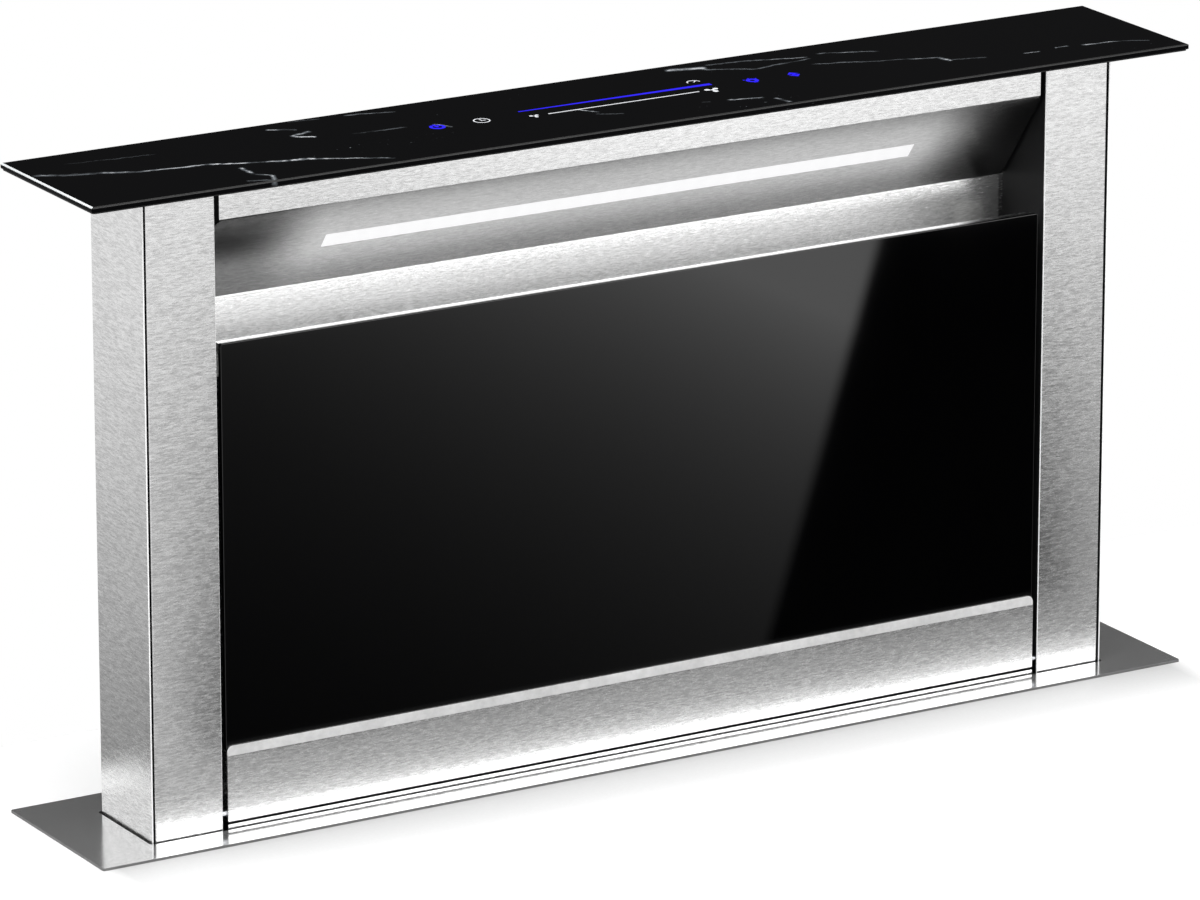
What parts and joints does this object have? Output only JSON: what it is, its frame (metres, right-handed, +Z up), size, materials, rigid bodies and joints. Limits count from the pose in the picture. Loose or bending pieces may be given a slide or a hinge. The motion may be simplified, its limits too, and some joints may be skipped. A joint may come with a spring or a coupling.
{
  "type": "downdraft vent",
  "caption": "Worktop downdraft vent with a raised steel tower, black glass top and tilting glass door, lift, blower and duct collar below.",
  "frame": {"origin": "centre of the flange's underside, where it lies on the worktop", "axes": "+Z up, the way the tower rises; -Y to the cook, where the door opens; +X to the cook's right"},
  "size_m": [0.884, 0.2835, 1.1702],
  "materials": {
    "brushed_steel": "brushed along the width",
    "black_glass": "opaque black backed glass, polished",
    "galvanised_steel": "galvanised sheet",
    "aluminium": "satin",
    "black_plastic": "moulded",
    "grey_plastic": "moulded",
    "white_diffuser": "opal",
    "circuit_board": "solder mask",
    "white_circuit_board": "white solder mask",
    "screw_steel": "rolled thread, oiled",
    "zinc_steel": "zinc plated",
    "bronze": "turned",
    "black_rubber": "matt",
    "motor_paint": "satin paint",
    "magnet_case": "moulded"
  },
  "bodies": {
    "worktop_frame": {"flange_plate": "brushed_steel", "slot_seal": "black_rubber", "housing_front": "galvanised_steel", "housing_rear": "galvanised_steel", "housing_left": "galvanised_steel", "housing_right": "galvanised_steel", "housing_bottom": "galvanised_steel", "left_guide_rail": "zinc_steel", "right_guide_rail": "zinc_steel", "mounting_brackets": "zinc_steel", "bracket_bolts": "zinc_steel", "screw_bearings": "black_plastic", "lift_belt": "black_rubber", "lift_motor": "motor_paint", "blower_scroll": "galvanised_steel", "blower_cover": "galvanised_steel", "blower_motor": "motor_paint", "outlet_collar": "grey_plastic", "flap_pin": "zinc_steel", "control_box": "grey_plastic", "control_lid": "grey_plastic", "control_board": "circuit_board", "mains_gland": "black_plastic"},
    "tower": {"top_glass": "black_glass", "top_tray": "brushed_steel", "touch_board": "circuit_board", "left_column_side": "brushed_steel", "right_column_side": "brushed_steel", "left_column_front": "brushed_steel", "right_column_front": "brushed_steel", "rear_panel": "brushed_steel", "rear_panel_screws": "zinc_steel", "top_fascia": "brushed_steel", "lamp_panel": "brushed_steel", "led_housing": "aluminium", "led_diffuser": "white_diffuser", "led_board": "white_circuit_board", "back_wall": "brushed_steel", "filter_carrier": "brushed_steel", "left_filter_frame": "aluminium", "right_filter_frame": "aluminium", "left_filter_mesh": "aluminium", "right_filter_mesh": "aluminium", "sill_panel": "brushed_steel", "tower_base": "galvanised_steel", "screw_nuts": "bronze", "glide_blocks": "black_plastic", "hinge_bushes": "black_plastic", "door_magnets": "magnet_case"},
    "door": {"front_glass": "black_glass", "door_pan": "brushed_steel", "door_trim": "brushed_steel", "hinge_pins": "zinc_steel"},
    "left_latch": {"left_filter_latch": "black_plastic"},
    "right_latch": {"right_filter_latch": "black_plastic"},
    "left_screw": {"left_lift_screw": "screw_steel"},
    "right_screw": {"right_lift_screw": "screw_steel"},
    "fan_wheel": {"impeller": "galvanised_steel"},
    "front_damper": {"front_flap": "grey_plastic"},
    "rear_damper": {"rear_flap": "grey_plastic"}
  },
  "joints": [
    {"name": "tower_lift", "type": "slide", "parent": "worktop_frame", "child": "tower", "axis": [0, 0, 1], "range_m": [-0.455, 0]},
    {"name": "left_screw_spin", "type": "hinge", "parent": "worktop_frame", "child": "left_screw", "pos_m": [-0.3625, -0.004, -0.3], "axis": [0, 0, 1], "range_deg": [-8191, 0.5]},
    {"name": "right_screw_spin", "type": "hinge", "parent": "worktop_frame", "child": "right_screw", "pos_m": [0.3625, -0.004, -0.3], "axis": [0, 0, 1], "range_deg": [-8191, 0.5]},
    {"name": "door_tilt", "type": "hinge", "parent": "tower", "child": "door", "pos_m": [0, -0.0386, 0.0124], "axis": [1, 0, 0], "range_deg": [0, 88]},
    {"name": "left_latch_slide", "type": "slide", "parent": "tower", "child": "left_latch", "axis": [0, 0, -1], "range_m": [0, 0.007], "stiffness_N_per_m": 350, "springref_m": -0.004},
    {"name": "right_latch_slide", "type": "slide", "parent": "tower", "child": "right_latch", "axis": [0, 0, -1], "range_m": [0, 0.007], "stiffness_N_per_m": 350, "springref_m": -0.004},
    {"name": "fan_spin", "type": "hinge", "parent": "worktop_frame", "child": "fan_wheel", "pos_m": [0, -0.1065, -0.33], "axis": [0, 1, 0], "continuous": true},
    {"name": "front_damper_tilt", "type": "hinge", "parent": "worktop_frame", "child": "front_damper", "pos_m": [0.084, -0.1385, -0.6], "axis": [1, 0, 0], "range_deg": [0, 75], "stiffness_Nm_per_rad": 0.004, "springref_deg": -85.94},
    {"name": "rear_damper_tilt", "type": "hinge", "parent": "worktop_frame", "child": "rear_damper", "pos_m": [0.084, -0.1385, -0.6], "axis": [1, 0, 0], "range_deg": [-75, 0], "stiffness_Nm_per_rad": 0.004, "springref_deg": 85.94}
  ],
  "couplings": [
    {"joint": "left_screw_spin", "follows": "tower_lift", "rad_per_m": 314.16},
    {"joint": "right_screw_spin", "follows": "tower_lift", "rad_per_m": 314.16}
  ]
}
